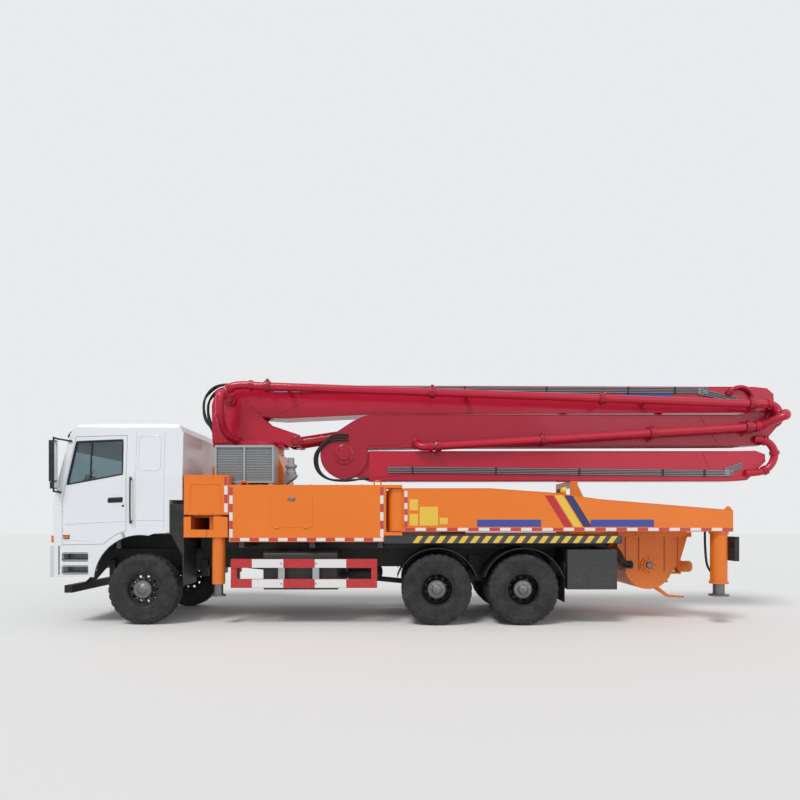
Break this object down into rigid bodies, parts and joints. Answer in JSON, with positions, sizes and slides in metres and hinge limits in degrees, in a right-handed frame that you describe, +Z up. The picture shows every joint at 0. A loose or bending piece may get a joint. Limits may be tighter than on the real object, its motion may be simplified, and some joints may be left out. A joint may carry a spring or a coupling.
{
  "type": "truck-mounted concrete pump",
  "caption": "Road truck carrying a folding concrete placing boom on a turret, with swing-out and slide-out support legs, a rear hopper and a sleeper cab.",
  "frame": {"origin": "on the ground, midway between the bumper's face and the boom's rear knuckle, in the truck's middle plane", "axes": "+X to the rear, +Y to the side away from the picture, which is the truck's right, +Z up"},
  "size_m": [11.9, 2.8, 3.955],
  "materials": {
    "tyre_rubber": "matt black rubber",
    "wheel_steel": "dark satin paint",
    "chassis_black": "satin black paint",
    "dark_grey": "satin dark grey paint",
    "guard_red": "gloss red with white bands",
    "black_plastic": "matt black plastic",
    "cab_white": "gloss white paint",
    "seat_fabric": "dark grey cloth",
    "bumper_grey": "light satin paint",
    "body_orange": "gloss orange paint",
    "cooler_grey": "light grey paint",
    "worn_steel": "worn steel",
    "bright_rod": "polished rod",
    "pump_brown": "primer brown paint",
    "boom_crimson": "gloss crimson paint"
  },
  "bodies": {
    "chassis": {"chassis_frame": "chassis_black", "axles": "chassis_black", "springs": "chassis_black", "powertrain": "chassis_black", "fuel_tanks": "dark_grey", "water_tanks": "dark_grey", "side_guards": "guard_red", "mudguards": "black_plastic", "cab_shell": "cab_white", "seats": "seat_fabric", "dashboard": "black_plastic", "bumper": "bumper_grey", "mirrors": "black_plastic", "deck": "dark_grey", "side_boxes": "body_orange", "pedestal": "body_orange", "oil_cooler": "cooler_grey", "leg_housing": "body_orange", "leg_brackets": "body_orange", "boom_rest": "body_orange", "hopper": "body_orange", "pump_unit": "pump_brown"},
    "wheel_fl": {"tyre_fl": "tyre_rubber", "rim_fl": "wheel_steel"},
    "wheel_fr": {"tyre_fr": "tyre_rubber", "rim_fr": "wheel_steel"},
    "wheel_ml": {"tyre_ml": "tyre_rubber", "rim_ml": "wheel_steel"},
    "wheel_mr": {"tyre_mr": "tyre_rubber", "rim_mr": "wheel_steel"},
    "wheel_rl": {"tyre_rl": "tyre_rubber", "rim_rl": "wheel_steel"},
    "wheel_rr": {"tyre_rr": "tyre_rubber", "rim_rr": "wheel_steel"},
    "steer_l": {"knuckle_l": "chassis_black"},
    "steer_r": {"knuckle_r": "chassis_black"},
    "door_left": {"door_l": "cab_white"},
    "door_right": {"door_r": "cab_white"},
    "grate": {"hopper_grate": "dark_grey"},
    "agitator": {"agitator": "worn_steel"},
    "arm_fl": {"front_arm_l": "body_orange"},
    "arm_fr": {"front_arm_r": "body_orange"},
    "beam_rl": {"rear_beam_l": "body_orange"},
    "beam_rr": {"rear_beam_r": "body_orange"},
    "foot_fl": {"jack_fl": "bright_rod"},
    "foot_fr": {"jack_fr": "bright_rod"},
    "foot_rl": {"jack_rl": "bright_rod"},
    "foot_rr": {"jack_rr": "bright_rod"},
    "turret": {"turret": "boom_crimson"},
    "ram_barrel": {"luff_barrel": "boom_crimson"},
    "ram_rod": {"luff_rod": "bright_rod"},
    "section_1": {"boom_1": "boom_crimson", "pipe_1": "boom_crimson", "ram_2": "boom_crimson"},
    "section_2": {"boom_2": "boom_crimson", "pipe_2": "boom_crimson"},
    "section_3": {"boom_3": "boom_crimson"},
    "section_4": {"boom_4": "boom_crimson"}
  },
  "joints": [
    {"name": "steer_left", "type": "hinge", "parent": "chassis", "child": "steer_l", "pos_m": [-4.52, -0.85, 0.555], "axis": [0, 0, 1], "range_deg": [-35, 35]},
    {"name": "steer_right", "type": "hinge", "parent": "chassis", "child": "steer_r", "pos_m": [-4.52, 0.85, 0.555], "axis": [0, 0, 1], "range_deg": [-35, 35]},
    {"name": "wheel_fl_spin", "type": "hinge", "parent": "steer_l", "child": "wheel_fl", "pos_m": [-4.52, -1.025, 0.555], "axis": [0, 1, 0], "continuous": true},
    {"name": "wheel_fr_spin", "type": "hinge", "parent": "steer_r", "child": "wheel_fr", "pos_m": [-4.52, 1.025, 0.555], "axis": [0, 1, 0], "continuous": true},
    {"name": "wheel_ml_spin", "type": "hinge", "parent": "chassis", "child": "wheel_ml", "pos_m": [0.08, -0.925, 0.555], "axis": [0, 1, 0], "continuous": true},
    {"name": "wheel_mr_spin", "type": "hinge", "parent": "chassis", "child": "wheel_mr", "pos_m": [0.08, 0.925, 0.555], "axis": [0, 1, 0], "continuous": true},
    {"name": "wheel_rl_spin", "type": "hinge", "parent": "chassis", "child": "wheel_rl", "pos_m": [1.43, -0.925, 0.555], "axis": [0, 1, 0], "continuous": true},
    {"name": "wheel_rr_spin", "type": "hinge", "parent": "chassis", "child": "wheel_rr", "pos_m": [1.43, 0.925, 0.555], "axis": [0, 1, 0], "continuous": true},
    {"name": "door_left_hinge", "type": "hinge", "parent": "chassis", "child": "door_left", "pos_m": [-5.732, -1.24, 2], "axis": [0, 0, -1], "range_deg": [0, 70]},
    {"name": "door_right_hinge", "type": "hinge", "parent": "chassis", "child": "door_right", "pos_m": [-5.732, 1.24, 2], "axis": [0, 0, 1], "range_deg": [0, 70]},
    {"name": "grate_hinge", "type": "hinge", "parent": "chassis", "child": "grate", "pos_m": [3.41, 0, 1.4673], "axis": [0, -1, 0], "range_deg": [0, 80]},
    {"name": "agitator_spin", "type": "hinge", "parent": "chassis", "child": "agitator", "pos_m": [3.6, 0, 0.9], "axis": [0, 1, 0], "continuous": true},
    {"name": "front_arm_left", "type": "slide", "parent": "chassis", "child": "arm_fl", "axis": [0, -1, 0], "range_m": [0, 1.4]},
    {"name": "front_arm_right", "type": "slide", "parent": "chassis", "child": "arm_fr", "axis": [0, 1, 0], "range_m": [0, 1.4]},
    {"name": "rear_beam_left", "type": "hinge", "parent": "chassis", "child": "beam_rl", "pos_m": [-0.56, -1.085, 1.8], "axis": [0, 0, -1], "range_deg": [0, 75]},
    {"name": "rear_beam_right", "type": "hinge", "parent": "chassis", "child": "beam_rr", "pos_m": [-0.56, 1.085, 1.8], "axis": [0, 0, 1], "range_deg": [0, 75]},
    {"name": "jack_fl_slide", "type": "slide", "parent": "arm_fl", "child": "foot_fl", "axis": [0, 0, -1], "range_m": [0, 0.55]},
    {"name": "jack_fr_slide", "type": "slide", "parent": "arm_fr", "child": "foot_fr", "axis": [0, 0, -1], "range_m": [0, 0.55]},
    {"name": "jack_rl_slide", "type": "slide", "parent": "beam_rl", "child": "foot_rl", "axis": [0, 0, -1], "range_m": [0, 0.55]},
    {"name": "jack_rr_slide", "type": "slide", "parent": "beam_rr", "child": "foot_rr", "axis": [0, 0, -1], "range_m": [0, 0.55]},
    {"name": "slew", "type": "hinge", "parent": "chassis", "child": "turret", "pos_m": [-3, 0, 2.88], "axis": [0, 0, 1], "range_deg": [-180, 180]},
    {"name": "luff", "type": "hinge", "parent": "turret", "child": "section_1", "pos_m": [-3.4, 0, 3.7], "axis": [0, -1, 0], "range_deg": [0, 88]},
    {"name": "ram_tilt", "type": "hinge", "parent": "turret", "child": "ram_barrel", "pos_m": [-2.259, 0, 2.985], "axis": [0, -1, 0], "range_deg": [0, 92]},
    {"name": "ram_slide", "type": "slide", "parent": "ram_barrel", "child": "ram_rod", "axis": [0.9885, 0, 0.151], "range_m": [0, 1.9]},
    {"name": "fold_2", "type": "hinge", "parent": "section_1", "child": "section_2", "pos_m": [5.785, 0, 3.358], "axis": [0, -1, 0], "range_deg": [0, 180]},
    {"name": "fold_3", "type": "hinge", "parent": "section_2", "child": "section_3", "pos_m": [-1.434, 0, 2.735], "axis": [0, 1, 0], "range_deg": [0, 180]},
    {"name": "fold_4", "type": "hinge", "parent": "section_3", "child": "section_4", "pos_m": [5.539, 0, 2.686], "axis": [0, 1, 0], "range_deg": [0, 180]}
  ],
  "couplings": [
    {"joint": "steer_right", "follows": "steer_left", "ratio": 1},
    {"joint": "slew", "follows": "luff", "ratio": 1},
    {"joint": "fold_2", "follows": "luff", "ratio": 0.2},
    {"joint": "fold_3", "follows": "luff", "ratio": 1.2},
    {"joint": "ram_tilt", "follows": "luff", "ratio": 1.022},
    {"joint": "ram_slide", "follows": "luff", "m_per_rad": 1.227}
  ]
}
